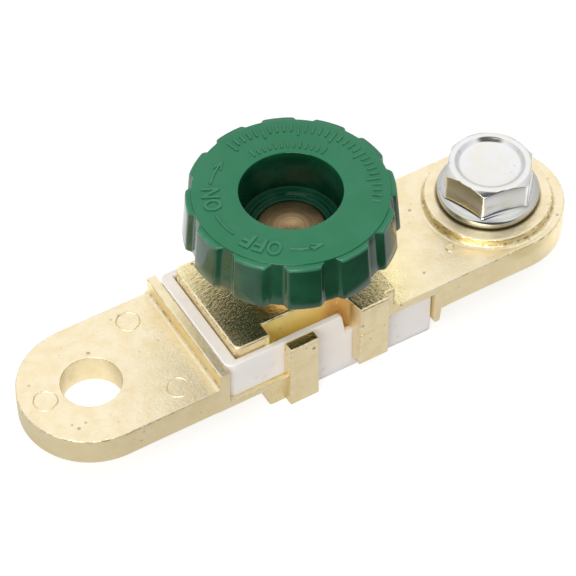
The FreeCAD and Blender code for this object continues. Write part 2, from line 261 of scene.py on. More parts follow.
@dataclass(frozen=True)
class CastSkin:
    """The shared skin of a cast or moulded surface: grain, clouds and sparse pits."""

    drawn: Point = (1.0, 1.0, 0.25)
    hair_scale: Point = (0.35, 2.2, 1.0)
    hair_turn: Point = (0.0, 0.0, 0.7)
    hair_grain: float = 1.6
    hair_share: float = 0.3
    coarse: Span = (5.0, 0.68)
    fine: Span = (4.0, 0.62)
    cloud: Span = (3.0, 0.6)
    cloud_grain: float = 0.25
    pit_size: Span = (0.10, 0.24)
    patch_scale: float = 0.37
    patches: Span = (0.53, 0.66)
    pit_depth: float = 0.5

    def build(self) -> Tree:
        """Wire the effect.

        Returns:
            The node group, with the outputs Height, Cloud and Specks.
        """
        names = ("Height", "Cloud", "Specks")
        graph, source, result = new_group("cast_skin", ("Grain", "Pits"), names)
        vector, grain, pits = source["Vector"], source["Grain"], source["Pits"]
        coarse = graph.noise(graph.mapped(vector, Scale=self.drawn), grain, *self.coarse)
        hairs = graph.mapped(vector, Rotation=self.hair_turn, Scale=self.hair_scale)
        fine = graph.noise(hairs, graph.times(grain, self.hair_grain), *self.fine)
        cloud = graph.noise(vector, graph.times(grain, self.cloud_grain), *self.cloud)
        cells = graph.add("ShaderNodeTexVoronoi", {"Vector": vector, "Scale": pits}, feature="F1")
        patches = graph.noise(vector, graph.times(pits, self.patch_scale), 2.0)
        sparse = graph.remap(patches, self.patches)
        specks = graph.times(graph.fade(cells.outputs["Distance"], self.pit_size), sparse)
        relief = graph.plus(graph.times(coarse, 1.0 - self.hair_share),
                            graph.times(fine, self.hair_share))
        height = graph.calc("SUBTRACT", relief, graph.times(specks, self.pit_depth))
        for name, value in zip(names, (height, cloud, specks)):
            graph.link(value, result.inputs[name])
        return graph.tree


@dataclass(frozen=True)
class RimWearAndReflection:
    """The shared broken patches along rims where a rim mask is set, for wear and painted
    reflection.
    """

    threshold: float = 0.62
    contrast: float = 9.0
    patches: Span = (3.0, 0.6)

    def build(self) -> Tree:
        """Wire the effect.

        Returns:
            The node group, with the output Mask.
        """
        graph, source, result = new_group("rim_wear_and_reflection", ("Rim", "Scale", "Spread"), ("Mask",))
        patches = graph.noise(source["Vector"], source["Scale"], *self.patches)
        limit = graph.calc("SUBTRACT", self.threshold, source["Spread"])
        inputs = {0: graph.calc("SUBTRACT", patches, limit), 1: self.contrast}
        above = graph.add("ShaderNodeMath", inputs, operation="MULTIPLY", use_clamp=True)
        graph.link(graph.times(above.outputs[0], source["Rim"]), result.inputs["Mask"])
        return graph.tree


@dataclass(frozen=True)
class LatheMarks:
    """The shared turning marks: uneven rings about the Z axis of a centred vector."""

    fine: Span = (3.0, 0.65)
    broad_scale: float = 0.21
    broad_share: float = 0.4

    def build(self) -> Tree:
        """Wire the effect.

        Returns:
            The node group, with the outputs Height and Tone.
        """
        graph, source, result = new_group("lathe_marks", ("Rings",), ("Height", "Tone"))
        x, y, z = graph.split(source["Vector"])
        along = graph.join(graph.gap(graph.join(x, y), ORIGIN), 0.0, z)
        rings = graph.noise(along, source["Rings"], *self.fine)
        broad = graph.noise(along, graph.times(source["Rings"], self.broad_scale), 1.0)
        tone = graph.plus(graph.times(rings, 1.0 - self.broad_share),
                          graph.times(broad, self.broad_share))
        graph.link(rings, result.inputs["Height"])
        graph.link(tone, result.inputs["Tone"])
        return graph.tree


@dataclass(frozen=True)
class SharedEffects:
    """The node groups that more than one finish uses."""

    cast_skin: Tree = field(default_factory=CastSkin().build)
    rim_wear_and_reflection: Tree = field(default_factory=RimWearAndReflection().build)
    lathe_marks: Tree = field(default_factory=LatheMarks().build)


class Surface(Graph):
    """Wires one finish: a Principled shader, the place on the object and the shared effects."""

    def __init__(self, slot: Slot, effects: SharedEffects, **constants: object) -> None:
        """Start the material.

        Args:
            slot: The record's slot, which names the material.
            effects: The shared effects.
            **constants: Values for the shader's inputs, with _ for a space.
        """
        self.material = bpy.data.materials.new(slot.value)
        self.material.use_nodes = True
        super().__init__(self.material.node_tree)
        self.effects = effects
        inputs = {name.replace("_", " "): value for name, value in constants.items()}
        self.shader = self.add("ShaderNodeBsdfPrincipled", inputs)
        self.add("ShaderNodeOutputMaterial", {"Surface": self.shader.outputs["BSDF"]})
        self.place = self.add("ShaderNodeTexCoord").outputs["Object"]

    @cached_property
    def spot(self) -> Socket:
        """The place on the object in millimetres."""
        return self.millimetres(self.place)

    @cached_property
    def upward(self) -> Socket:
        """How far the surface faces up, from -1 to 1."""
        return self.split(self.add("ShaderNodeNewGeometry").outputs["Normal"])[2]

    @cached_property
    def rim(self) -> Socket:
        """The rim mask that the meshes carry."""
        return self.add("ShaderNodeAttribute", attribute_name="rim").outputs["Fac"]

    def effect(self, tree: Tree, place: Socket, **inputs: object) -> bpy.types.NodeOutputs:
        """Place a shared effect and return its outputs."""
        return self.add("ShaderNodeGroup", {"Vector": place, **inputs}, node_tree=tree).outputs

    def skin(self, grain: float, pits: float) -> bpy.types.NodeOutputs:
        """Place the shared cast skin."""
        return self.effect(self.effects.cast_skin, self.place, Grain=grain, Pits=pits)

    def wear(self, rim: Socket, scale: float, spread: float) -> Socket:
        """Return a mask of the shared broken patches on a rim, for wear and painted reflection."""
        inputs = {"Rim": rim, "Scale": scale, "Spread": spread}
        return self.effect(self.effects.rim_wear_and_reflection, self.place, **inputs)["Mask"]

    def turned(self, centre_x: float, rings: float) -> bpy.types.NodeOutputs:
        """Place the shared turning marks about an upright axis."""
        centred = self.mapped(self.place, Location=(-centre_x * MILLIMETRE, 0.0, 0.0))
        return self.effect(self.effects.lathe_marks, centred, Rings=rings)

    def close(self, colour: Socket, roughness: Socket, relief: Socket, bump: Span) -> Material:
        """Join the finish to the shader.

        Args:
            colour: The base colour.
            roughness: The roughness.
            relief: The height, about 0 to 1.
            bump: The relief's strength and its depth.

        Returns:
            The material.
        """
        inputs = {"Strength": bump[0], "Distance": bump[1] * MILLIMETRE, "Height": relief}
        normal = self.add("ShaderNodeBump", inputs).outputs["Normal"]
        for name, value in (("Base Color", colour), ("Roughness", roughness), ("Normal", normal)):
            self.link(value, self.shader.inputs[name])
        return self.material


# Finishes


@dataclass(frozen=True)
class PlatedCasting:
    """Pale yellow plating over a zinc casting, with an orange-peel skin, rubbed rims and painted
    light and shade.
    """

    pale: Colour = (0.93, 0.82, 0.59)
    # Painted reflection: upright faces take the side colour, a deeper gold than the tops.
    side: Colour = (0.95, 0.82, 0.53)
    # Painted shade: under is the deeper gold that the plating takes below the knob.
    under: Colour = (0.98, 0.85, 0.45)
    deep: Colour = (0.87, 0.70, 0.38)
    # Painted shade on the boss's sloped and upright sides.
    boss_side_shade: Colour = (0.74, 0.60, 0.28)
    # Painted reflection on the notch's walls: a bright gold, turning to the darker orange corner
    # colour at the notch's right end.
    notch_reflection: Colour = (1.0, 0.90, 0.42)
    corner: Colour = (0.82, 0.56, 0.24)
    worn: Colour = (0.99, 0.94, 0.80)
    # The dirt colour marks the pits, and also paints the shadow round the flange and the dark
    # reflection on slanted rims.
    dirt: Colour = (0.22, 0.16, 0.06)
    roughness: Span = (0.15, 0.27)
    texture: Span = (1500.0, 620.0)
    bump: Span = (1.0, 0.15)
    level: Span = (0.5, 0.9)
    upright: Span = (0.2, 0.5)
    cloud_share: float = 0.45
    below_knob: Point = (SCREW_X, 0.0, 6.0)
    knob_shade: Span = (14.0, 24.0)
    lugs: Span = (16.0, 21.0)
    lug_matt: float = 0.13
    notch_middle: float = 34.8
    notch_reach: Span = (8.2, 8.8)
    notch_face: Span = (10.2, 11.3)
    notch_end: Span = (37.5, 40.5)
    notch_reflection_share: float = 0.9
    notch_matt: float = 0.5
    corner_reflection_share: float = 0.85
    boss_top: Point = (TERMINAL_X, 0.0, 8.1)
    boss_reach: Span = (12.6, 13.2)
    boss_slope: Span = (0.75, 0.95)
    boss_share: float = 0.7
    flange_rim: float = 8.6
    # Painted shadow: a dark ring on the boss round the flange's rim.
    flange_shadow: Span = (0.12, 0.6)
    flange_shadow_share: float = 0.9
    rubbed: Span = (1500.0, 0.09)
    # Painted dark reflection in broken patches on the slanted rims.
    rim_reflection_patches: Span = (800.0, 0.14)
    rim_reflection_slopes: tuple[Span, Span] = ((0.35, 0.75), (0.1, 0.2))
    rim_reflection_share: float = 0.75
    speck_share: float = 0.55

    def notch(self, surface: Surface) -> Socket:
        """Return the mask of the notch's upright walls.

        Args:
            surface: The finish that is wired.

        Returns:
            The mask.
        """
        x, y, _ = surface.split(surface.spot)
        across = surface.fade(surface.calc("ABSOLUTE", y), self.notch_face)
        along = surface.fade(surface.offset(x, self.notch_middle), self.notch_reach)
        wall = surface.fade(surface.upward, self.upright)
        return surface.times(surface.times(across, along), wall)

    def plating(self, surface: Surface, cloud: Socket, away: Socket, notch: Socket) -> Socket:
        """Return the plating's colour before wear, with its painted light and shade.

        Args:
            surface: The finish that is wired.
            cloud: The skin's clouds.
            away: The distance from a point below the knob.
            notch: The mask of the notch's walls.

        Returns:
            The colour.
        """
        upward = surface.upward
        # Painted shade: the plating turns a deeper gold near the point below the knob.
        colour = surface.blend(surface.remap(away, self.knob_shade), self.under, self.pale)
        # Painted reflection: upright faces turn a deeper gold than the tops.
        colour = surface.blend(surface.remap(upward, self.level), self.side, colour)
        tone = surface.remap(cloud, CLOUDS, (0.0, self.cloud_share))
        colour = surface.blend(tone, colour, self.deep)
        # Painted reflection: the notch's upright walls turn a bright gold, darkening to orange
        # towards their right end.
        x = surface.split(surface.spot)[0]
        corner_reflection = surface.remap(x, self.notch_end, (0.0, self.corner_reflection_share))
        wall = surface.blend(corner_reflection, self.notch_reflection, self.corner)
        colour = surface.blend(surface.times(notch, self.notch_reflection_share), colour, wall)
        spoke = surface.gap(surface.spot, self.boss_top)
        # Painted shade: the boss's sloped and upright sides darken to a deeper yellow.
        boss_side_shade_mask = surface.times(surface.fade(spoke, self.boss_reach),
                             surface.fade(upward, self.boss_slope, self.boss_share))
        colour = surface.blend(boss_side_shade_mask, colour, self.boss_side_shade)
        # Painted shadow: a dark ring in the dirt colour on the boss where the flange meets it.
        flange_shadow = surface.fade(surface.offset(spoke, self.flange_rim), self.flange_shadow, self.flange_shadow_share)
        return surface.blend(flange_shadow, colour, self.dirt)

    def build(self, effects: SharedEffects) -> Material:
        """Wire the finish.

        Args:
            effects: The shared effects.

        Returns:
            The material.
        """
        surface = Surface(Slot.CASTING, effects, Metallic=1.0)
        skin = surface.skin(*self.texture)
        away = surface.gap(surface.spot, self.below_knob)
        notch = self.notch(surface)
        colour = self.plating(surface, skin["Cloud"], away, notch)
        colour = surface.blend(surface.wear(surface.rim, *self.rubbed), colour, self.worn)
        # Painted dark reflection: the slanted rim faces darken in broken patches.
        high, low = self.rim_reflection_slopes
        slanted = surface.times(surface.fade(surface.upward, high),
                                surface.remap(surface.upward, low))
        rim_reflection = surface.wear(surface.times(surface.rim, slanted), *self.rim_reflection_patches)
        colour = surface.blend(surface.times(rim_reflection, self.rim_reflection_share), colour, self.dirt)
        colour = surface.blend(surface.times(skin["Specks"], self.speck_share), colour, self.dirt)
        matt = surface.most(surface.times(notch, self.notch_matt),
                            surface.remap(away, self.lugs, (0.0, self.lug_matt)))
        rough = surface.plus(surface.remap(skin["Cloud"], WIDE_CLOUDS, self.roughness), matt)
        return surface.close(colour, rough, skin["Height"], self.bump)


@dataclass(frozen=True)
class Nylon:
    """Natural white nylon, slightly translucent, with a faint moulded skin."""

    base: Colour = (0.96, 0.875, 0.83)
    shade: Colour = (0.93, 0.83, 0.77)
    worn: Colour = (0.94, 0.91, 0.88)
    dirt: Colour = (0.55, 0.47, 0.38)
    roughness: Span = (0.36, 0.50)
    texture: Span = (700.0, 300.0)
    bump: Span = (0.6, 0.03)
    cloud_share: float = 0.5
    rubbed: Span = (700.0, 0.12)
    rubbed_share: float = 0.5
    speck_share: float = 0.25
    clearness: float = 0.7
    reach: Point = (1.0, 0.95, 0.92)
    depth: float = 2.0

    def build(self, effects: SharedEffects) -> Material:
        """Wire the finish.

        Args:
            effects: The shared effects.

        Returns:
            The material.
        """
        surface = Surface(Slot.NYLON, effects, Subsurface_Weight=self.clearness,
                          Subsurface_Radius=self.reach, Subsurface_Scale=self.depth * MILLIMETRE)
        skin = surface.skin(*self.texture)
        tone = surface.remap(skin["Cloud"], CLOUDS, (0.0, self.cloud_share))
        colour = surface.blend(tone, self.base, self.shade)
        rubbed = surface.times(surface.wear(surface.rim, *self.rubbed), self.rubbed_share)
        colour = surface.blend(rubbed, colour, self.worn)
        colour = surface.blend(surface.times(skin["Specks"], self.speck_share), colour, self.dirt)
        rough = surface.remap(skin["Cloud"], WIDE_CLOUDS, self.roughness)
        return surface.close(colour, rough, skin["Height"], self.bump)


@dataclass(frozen=True)
class TurnedBrass:
    """Turned brass about an upright axis, with uneven tool marks."""

    pale: Colour = (0.47, 0.33, 0.18)
    deep: Colour = (0.24, 0.16, 0.08)
    dirt: Colour = (0.16, 0.09, 0.04)
    roughness: Span = (0.32, 0.48)
    rings: float = 2600.0
    texture: Span = (900.0, 900.0)
    bump: Span = (0.8, 0.04)
    tones: Span = (0.38, 0.62)
    tone_share: float = 0.8
    matt_clouds: Span = (0.3, 0.7)
    speck_share: float = 0.5

    def build(self, effects: SharedEffects) -> Material:
        """Wire the finish.

        Args:
            effects: The shared effects.

        Returns:
            The material.
        """
        surface = Surface(Slot.BRASS, effects, Metallic=1.0)
        marks = surface.turned(SCREW_X, self.rings)
        skin = surface.skin(*self.texture)
        tone = surface.remap(marks["Tone"], self.tones, (0.0, self.tone_share))
        colour = surface.blend(tone, self.pale, self.deep)
        colour = surface.blend(surface.times(skin["Specks"], self.speck_share), colour, self.dirt)
        rough = surface.remap(skin["Cloud"], self.matt_clouds, self.roughness)
        return surface.close(colour, rough, marks["Height"], self.bump)


@dataclass(frozen=True)
class GreenPlastic:
    """Glossy green thermoplastic with a soft moulded skin, rubbed rims and painted light and shade.
    """

    # Painted light and shade: top goes on faces that look up and the darker side colour on the
    # sides; shaded is painted shade in the recess and underneath.
    top: Colour = (0.003, 0.160, 0.064)
    side: Colour = (0.002, 0.046, 0.017)
    shaded: Colour = (0.001, 0.018, 0.008)
    # rubbed colours the clouds, the rim wear and the painted rim highlight.
    rubbed: Colour = (0.07, 0.27, 0.16)
    roughness: Span = (0.10, 0.17)
    texture: Span = (520.0, 500.0)
    bump: Span = (0.5, 0.02)
    level: Span = (0.3, 0.9)
    underside: Span = (-0.9, -0.3)
    cloud_share: float = 0.12
    worn: Span = (600.0, 0.20)
    worn_share: float = 0.5
    sheen_slope: Span = (0.1, 0.7)
    sheen: Span = (0.62, 0.42)
    recess_wall: Span = (8.4, 8.6)
    recess_mouth: Span = (28.0, 29.6)
    recess_share: float = 0.75
    # Painted highlight: every rim face takes this share of the rubbed colour.
    rim_highlight_share: float = 0.35

    def build(self, effects: SharedEffects) -> Material:
        """Wire the finish.

        Args:
            effects: The shared effects.

        Returns:
            The material.
        """
        surface = Surface(Slot.PLASTIC, effects)
        skin = surface.skin(*self.texture)
        upward = surface.upward
        x, y, z = surface.split(surface.spot)
        radius = surface.gap(surface.join(x, y), (SCREW_X, 0.0, 0.0))
        inner = surface.times(surface.fade(radius, self.recess_wall, self.recess_share),
                              surface.fade(z, self.recess_mouth))
        # Painted shade: faces that look up take the top colour, and the sides the darker side
        # colour.
        colour = surface.blend(surface.remap(upward, self.level), self.side, self.top)
        dark = surface.most(inner, surface.fade(upward, self.underside))
        colour = surface.blend(dark, colour, self.shaded)
        tone = surface.remap(skin["Cloud"], CLOUDS, (0.0, self.cloud_share))
        colour = surface.blend(tone, colour, self.rubbed)
        worn = surface.times(surface.wear(surface.rim, *self.worn), self.worn_share)
        # Painted highlight: every rim face lightens to the rubbed colour by a fixed share, besides
        # the broken wear.
        light = surface.most(worn, surface.times(surface.rim, self.rim_highlight_share))
        colour = surface.blend(light, colour, self.rubbed)
        sheen = surface.remap(upward, self.sheen_slope, self.sheen)
        level = surface.times(surface.calc("SUBTRACT", 1.0, inner), sheen)
        surface.link(level, surface.shader.inputs["Specular IOR Level"])
        rough = surface.remap(skin["Cloud"], WIDE_CLOUDS, self.roughness)
        return surface.close(colour, rough, skin["Height"], self.bump)


@dataclass(frozen=True)
class BrightZinc:
    """Bright zinc plate with a faint warm cast, spun marks, small pits and a painted dark
    reflection on the flange.
    """

    base: Colour = (0.80, 0.80, 0.82)
    warm: Colour = (0.78, 0.75, 0.62)
    # Painted dark reflection: worn is the grey that the flange takes in streaks.
    worn: Colour = (0.42, 0.43, 0.39)
    dirt: Colour = (0.20, 0.20, 0.22)
    roughness: Span = (0.07, 0.18)
    rings: float = 1500.0
    texture: Span = (900.0, 420.0)
    bump: Span = (0.5, 0.03)
    warm_clouds: Span = (0.42, 0.62)
    warm_share: float = 0.45
    streaks: Span = (0.38, 0.60)
    streak_shares: Span = (0.15, 0.85)
    speck_share: float = 0.7
    flange_top: Span = (10.1, 10.6)
    ring_share: float = 0.2

    def build(self, effects: SharedEffects) -> Material:
        """Wire the finish.

        Args:
            effects: The shared effects.

        Returns:
            The material.
        """
        surface = Surface(Slot.ZINC, effects, Metallic=1.0)
        marks = surface.turned(TERMINAL_X, self.rings)
        skin = surface.skin(*self.texture)
        tone = surface.remap(skin["Cloud"], self.warm_clouds, (0.0, self.warm_share))
        colour = surface.blend(tone, self.base, self.warm)
        # Painted dark reflection: below the flange's top the colour turns grey in streaks along the
        # turning marks.
        flange_reflection = surface.times(surface.fade(surface.split(surface.spot)[2], self.flange_top),
                              surface.remap(marks["Tone"], self.streaks, self.streak_shares))
        colour = surface.blend(flange_reflection, colour, self.worn)
        colour = surface.blend(surface.times(skin["Specks"], self.speck_share), colour, self.dirt)
        relief = surface.plus(surface.times(skin["Height"], 1.0 - self.ring_share),
                              surface.times(marks["Height"], self.ring_share))
        rough = surface.remap(skin["Cloud"], WIDE_CLOUDS, self.roughness)
        return surface.close(colour, rough, relief, self.bump)


# Scene and mesh helpers


def new_object(name: str, data: bpy.types.ID) -> Object:
    """Put a new object in the scene.

    Args:
        name: The object's name.
        data: Its mesh, lamp, camera or curve.

    Returns:
        The object.
    """
    thing = bpy.data.objects.new(name, data)
    bpy.context.scene.collection.objects.link(thing)
    return thing


def polar(radius: float, degrees: float) -> Vector:
    """Return the level point at a radius and an angle."""
    angle = math.radians(degrees)
    return Vector((radius * math.cos(angle), radius * math.sin(angle), 0.0))


def toward(azimuth: float, elevation: float) -> Vector:
    """Return a direction from the object, from two angles in degrees."""
    above = math.radians(elevation)
    return polar(math.cos(above), azimuth - 90.0) + Vector((0.0, 0.0, math.sin(above)))


def value_at(shape: Shape, angle: float) -> float:
    """Return a fixed or angle-dependent size at an angle in radians."""
    return shape(angle) if callable(shape) else shape


def placed(profile: Profile, radius: float, z: float) -> list[Ring]:
    """Return a profile of small steps as rings at a radius and a height."""
    return [(radius + out, z + up) for out, up in profile]


def ring_surface(rings: Sequence[Ring], segments: int, centre_x: float, closed: bool) -> Mesh:
    """Extrude a circle ring by ring about an upright axis.

    Args:
        rings: Radius and height of each ring, in order along the surface.
        segments: Points on each ring.
        centre_x: The axis's place along X.
        closed: Whether the last ring joins the first; otherwise both ends are capped.

    Returns:
        The surface as a mesh in millimetres.
    """
    bm = bmesh.new()

    def settle(verts: Iterable[bmesh.types.BMVert], ring: Ring) -> None:
        """Move the points of a new ring to their places.

        Args:
            verts: The points.
            ring: The ring's radius and height.
        """
        for vert in verts:
            angle = math.atan2(vert.co.y, vert.co.x - centre_x)
            radius, z = (value_at(shape, angle) for shape in ring)
            vert.co = (centre_x + radius * math.cos(angle), radius * math.sin(angle), z)

    axis = Matrix.Translation((centre_x, 0.0, 0.0))
    start = bmesh.ops.create_circle(bm, cap_ends=False, radius=1.0, segments=segments, matrix=axis)
    settle(start["verts"], rings[0])
    first_edges = edges = list(bm.edges)
    for ring in rings[1:]:
        grown = bmesh.ops.extrude_edge_only(bm, edges=edges)["geom"]
        settle([item for item in grown if isinstance(item, bmesh.types.BMVert)], ring)
        edges = [item for item in grown if isinstance(item, bmesh.types.BMEdge)]
    if closed:
        bmesh.ops.bridge_loops(bm, edges=first_edges + edges)
    else:
        bmesh.ops.holes_fill(bm, edges=first_edges + edges, sides=0)
    bmesh.ops.recalc_face_normals(bm, faces=bm.faces)
    return bm


def cad_copy(node: str) -> Mesh:
    """Return a merged copy of a CAD node's mesh, with its flat faces joined.

    Args:
        node: The node's name.

    Returns:
        The copy, in millimetres.
    """
    bm = bmesh.new()
    bm.from_mesh(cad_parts[node].data)
    bmesh.ops.scale(bm, vec=(1.0 / MILLIMETRE,) * 3, verts=bm.verts)
    bmesh.ops.remove_doubles(bm, verts=bm.verts, dist=MERGE_DISTANCE)
    flat = math.radians(FLAT_ANGLE)
    bmesh.ops.dissolve_limit(bm, angle_limit=flat, verts=bm.verts, edges=bm.edges)
    return bm


def width_across(face: bmesh.types.BMFace) -> float:
    """Return a long face's width, judged from its area and perimeter."""
    return 2.0 * face.calc_area() / max(0.001, face.calc_perimeter())


def soften(bm: Mesh, width: float) -> None:
    """Round a mesh's sharp edges and mark the new and the narrow slanted faces as rims.

    Args:
        bm: The mesh, in millimetres.
        width: The rounding's width.
    """
    layer = bm.faces.layers.float.new("rim")
    sharp = [
        edge
        for edge in bm.edges
        if len(edge.link_faces) == 2
        and edge.calc_face_angle(0.0) > math.radians(SHARP_ANGLE)
        and min(width_across(face) for face in edge.link_faces) > NARROW_FACE
    ]
    made = bmesh.ops.bevel(
        bm, geom=sharp, offset=width, offset_type="OFFSET", segments=2, profile=0.5,
        affect="EDGES", clamp_overlap=False, material=-1,
    )["faces"]
    for face in made:
        face[layer] = 1.0
    low, high = CHAMFER_SLOPE
    for face in bm.faces:
        if width_across(face) < CHAMFER_WIDTH and low < abs(face.normal.z) < high:
            face[layer] = 1.0


def mark_rims(bm: Mesh, wear: Callable[[bmesh.types.BMFace], float]) -> None:
    """Write each face's share of the rim mask, which carries rim wear and a painted highlight.

    Args:
        bm: The mesh.
        wear: Gives a face's share, from 0 to 1.
    """
    layer = bm.faces.layers.float.new("rim")
    for face in bm.faces:
        face[layer] = wear(face)


def merge_into(bm: Mesh, part: Mesh) -> None:
    """Add one mesh to another and free it.

    Args:
        bm: The mesh to add to.
        part: The mesh to add.
    """
    mesh = bpy.data.meshes.new("joined")
    part.to_mesh(mesh)
    part.free()
    bm.from_mesh(mesh)
    bpy.data.meshes.remove(mesh)


def add_box(bm: Mesh, place: Matrix, size: Point, rounding: float = 0.0) -> None:
    """Add a box to a mesh.

    Args:
        bm: The mesh to add to.
        place: The box's place and turn.
        size: The box's lengths along its own axes.
        rounding: The width of its rounded edges, if any.
    """
    part = bmesh.new()
    bmesh.ops.create_cube(part, size=1.0, matrix=place @ Matrix.Diagonal((*size, 1.0)))
    if rounding:
        bmesh.ops.bevel(part, geom=part.edges[:], offset=rounding, segments=2, profile=0.5,
                        affect="EDGES")
    merge_into(bm, part)


@dataclass(frozen=True)
class Stroke:
    """A raised stroke that follows an arc about an upright axis."""

    start: Polar
    finish: Polar
    widths: Span
    base: float
    height: float

    def place(self, corner: Vector, centre_x: float) -> Vector:
        """Return where a corner of a unit box goes.

        Args:
            corner: The corner, each part between -0.5 and 0.5.
            centre_x: The axis's place along X.

        Returns:
            The corner's place on the stroke.
        """
        along = corner.x + 0.5
        radius, angle, width = (
            first + (last - first) * along
            for first, last in (*zip(self.start, self.finish), self.widths)
        )
        run = polar(*self.finish) - polar(*self.start)
        side = Vector((-run.y, run.x, 0.0)).normalized()
        if abs(self.finish[1] - self.start[1]) > STROKE_ARC:
            side = polar(1.0, angle)
        taper = STROKE_TAPER if corner.z > 0 else 1.0
        foot = Vector((centre_x, 0.0, self.base + self.height * (corner.z + 0.5)))
        return foot + polar(radius, angle) + side * (corner.y * width * taper)

    def add_to(self, bm: Mesh, centre_x: float) -> None:
        """Add the stroke to a mesh.

        Args:
            bm: The mesh to add to, in millimetres.
            centre_x: The axis's place along X.
        """
        part = bmesh.new()
        bmesh.ops.create_cube(part, size=1.0)
        across = [edge for edge in part.edges if abs(edge.verts[0].co.x - edge.verts[1].co.x) > 0.5]
        cuts = max(1, int(abs(self.finish[1] - self.start[1]) / STROKE_STEP))
        bmesh.ops.subdivide_edges(part, edges=across, cuts=cuts, use_grid_fill=True)
        for vert in part.verts:
            vert.co = self.place(vert.co, centre_x)
        bmesh.ops.recalc_face_normals(part, faces=part.faces)
        merge_into(bm, part)


def letter_mesh(character: str, height: float, width: float, thickness: float) -> Mesh:
    """Return a raised letter centred on the origin, lying flat, in millimetres.

    Args:
        character: The letter.
        height: The letter's height.
        width: The letter's width.
        thickness: How far it stands out.

    Returns:
        The letter's mesh.
    """
    curve = bpy.data.curves.new("letter", "FONT")
    curve.body = character
    curve.extrude = 0.5
    curve.resolution_u = 6
    curve.offset = LETTER_WEIGHT
    thing = new_object("letter", curve)
    bpy.context.view_layer.update()
    mesh = bpy.data.meshes.new_from_object(thing)
    bm = bmesh.new()
    bm.from_mesh(mesh)
    bpy.data.objects.remove(thing)
    bpy.data.curves.remove(curve)
    bpy.data.meshes.remove(mesh)
    bmesh.ops.remove_doubles(bm, verts=bm.verts, dist=0.0001)
    low, high = (
        Vector([end(vert.co[axis] for vert in bm.verts) for axis in range(3)]) for end in (min, max)
    )
    size = high - low
    bmesh.ops.translate(bm, vec=-(low + high) / 2.0, verts=bm.verts)
    stretch = (width / size.x, height / size.y, thickness / size.z)
    bmesh.ops.scale(bm, vec=stretch, verts=bm.verts)
    return bm


@dataclass(frozen=True)
class Thread:
    """A closed threaded shank, made by spinning one pitch of its profile."""

    centre_x: float
    radius: float
    pitch: float
    low: float
    high: float
    point: float
    depth: float = 0.58
    profile: Profile = ((1.0, 0.0), (1.0, 0.12), (0.0, 0.48), (0.0, 0.62), (1.0, 1.0))
    steps: int = 40

    def spin(self) -> Mesh:
        """Spin the open thread, longer than the shank at both ends.

        Returns:
            The thread's mesh.
        """
        bm = bmesh.new()
        verts = []
        for inward, along in self.profile:
            radius = self.radius - inward * self.depth * self.pitch
            height = self.low + (along - 1.5) * self.pitch
            verts.append(bm.verts.new((self.centre_x + radius, 0.0, height)))
        edges = [bm.edges.new(pair) for pair in zip(verts, verts[1:])]
        turns = int((self.high - self.low) / self.pitch) + 3
        bmesh.ops.spin(
            bm, geom=verts + edges, cent=(self.centre_x, 0.0, 0.0), axis=(0.0, 0.0, 1.0),
            dvec=(0.0, 0.0, self.pitch / self.steps), angle=math.tau * turns,
            steps=self.steps * turns, use_merge=False,
        )
        bmesh.ops.remove_doubles(bm, verts=bm.verts, dist=0.01)
        return bm

    def cut(self, bm: Mesh, height: float, normal: float) -> None:
        """Cut the thread level at a height and close the cut.

        Args:
            bm: The thread.
            height: The cut's height.
            normal: 1 to take off what lies above, -1 what lies below.
        """
        whole = list(bm.verts) + list(bm.edges) + list(bm.faces)
        bmesh.ops.bisect_plane(bm, geom=whole, dist=0.0005, plane_co=(0.0, 0.0, height),
                               plane_no=(0.0, 0.0, normal), clear_outer=True)
        rim = [
            edge
            for edge in bm.edges
            if edge.is_boundary and all(abs(vert.co.z - height) < 0.002 for vert in edge.verts)
        ]
        bmesh.ops.holes_fill(bm, edges=rim, sides=0)

    def build(self) -> Mesh:
        """Build the shank with its lower end chamfered.

        Returns:
            The shank's mesh, in millimetres.
        """
        bm = self.spin()
        self.cut(bm, self.low, -1.0)
        self.cut(bm, self.high, 1.0)
        for vert in bm.verts:
            reach = math.hypot(vert.co.x - self.centre_x, vert.co.y)
            limit = self.radius - max(0.0, self.point - (vert.co.z - self.low))
            if reach > limit:
                vert.co.x = self.centre_x + (vert.co.x - self.centre_x) * limit / reach
                vert.co.y *= limit / reach
        bmesh.ops.recalc_face_normals(bm, faces=bm.faces)
        return bm


@dataclass
class Workshop:
    """Turns finished meshes into pieces that ride on the frame."""

    materials: dict[Slot, Material]

    def piece(self, name: str, bm: Mesh, slot: Slot, body: Body, node: str | None = None,
              smooth: float = 32.0, weighted: bool = False) -> Object:
        """Make a piece from a mesh in millimetres and free the mesh.

        Args:
            name: The piece's name.
            bm: The mesh.
            slot: The record's slot and the finish.
            body: The body that it rides on.
            node: The CAD node that it stands for, if any.
            smooth: The greatest angle, in degrees, that is shaded smooth.
            weighted: Whether large faces lead the shading.

        Returns:
            The piece.
        """
        bmesh.ops.scale(bm, vec=(MILLIMETRE,) * 3, verts=bm.verts)
        mesh = bpy.data.meshes.new(name)
        bm.to_mesh(mesh)
        bm.free()
        mesh.materials.append(self.materials[slot])
        mesh.polygons.foreach_set("use_smooth", [True] * len(mesh.polygons))
        mesh.set_sharp_from_angle(angle=math.radians(smooth))
        thing = new_object(name, mesh)
        if weighted:
            even = thing.modifiers.new("even_shading", "WEIGHTED_NORMAL")
            even.keep_sharp = True
        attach(thing, body.value)
        if node is not None:
            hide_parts(node)
        LOG.info("%s: %d faces on %s", name, len(mesh.polygons), body.value)
        return thing

    def softened(self, name: str, node: str, slot: Slot, edge: float) -> Object:
        """Make a piece from a CAD node of the plates, with its edges rounded.

        Args:
            name: The piece's name.
            node: The CAD node.
            slot: The record's slot and the finish.
            edge: The rounding's width.

        Returns:
            The piece.
        """
        bm = cad_copy(node)
        soften(bm, edge)
        return self.piece(name, bm, slot, Body.PLATES, node, smooth=40.0, weighted=True)


# The pieces


